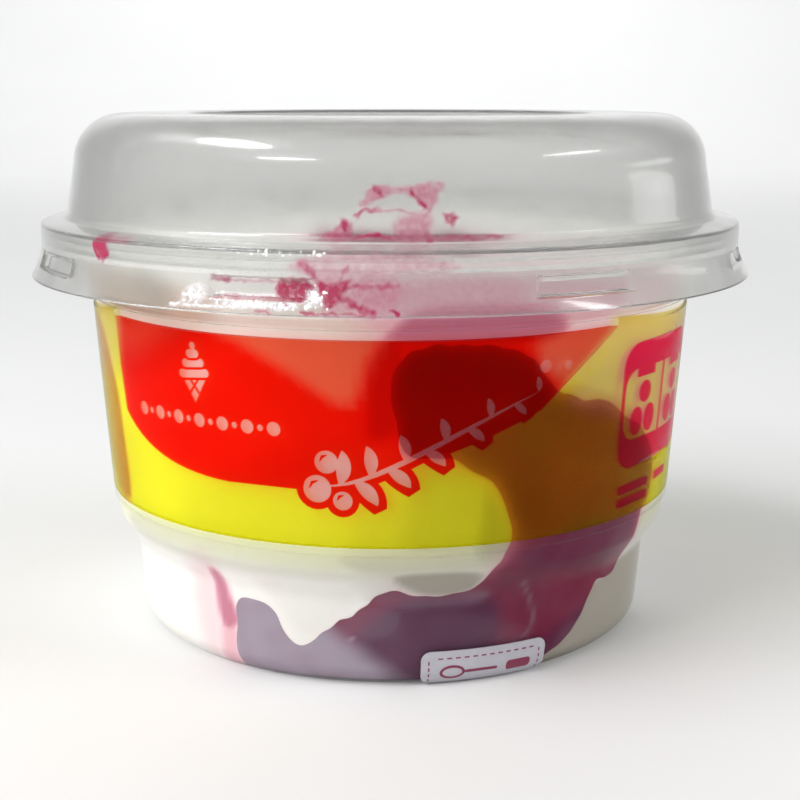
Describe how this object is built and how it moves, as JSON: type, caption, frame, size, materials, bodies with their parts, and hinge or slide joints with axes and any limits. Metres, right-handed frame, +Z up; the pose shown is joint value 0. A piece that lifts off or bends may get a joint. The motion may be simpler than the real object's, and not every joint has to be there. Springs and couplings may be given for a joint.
{
  "type": "gelato cup",
  "caption": "Lidded clear cup of gelato with berry sauce: stepped bowl, printed see-through band, and a low dome lid that snaps over the rim.",
  "frame": {"origin": "middle of the base, on the surface that the cup stands on", "axes": "+Z up along the cup's axis, -Y towards the front of the print, +X to the right of someone looking at the front"},
  "size_m": [0.0996, 0.0996, 0.0706],
  "materials": {
    "clear_cup": "clear, slightly hazy",
    "clear_lid": "clear, glossy",
    "printed_film": "see-through yellow and red print",
    "cream": "soft frozen cream",
    "sauce": "thick berry sauce",
    "sticker_paper": "matt white paper"
  },
  "bodies": {
    "root": {"cup": "clear_cup", "lid": "clear_lid", "label": "printed_film", "gelato": "cream", "berry_sauce": "sauce", "sticker": "sticker_paper"}
  },
  "joints": []
}
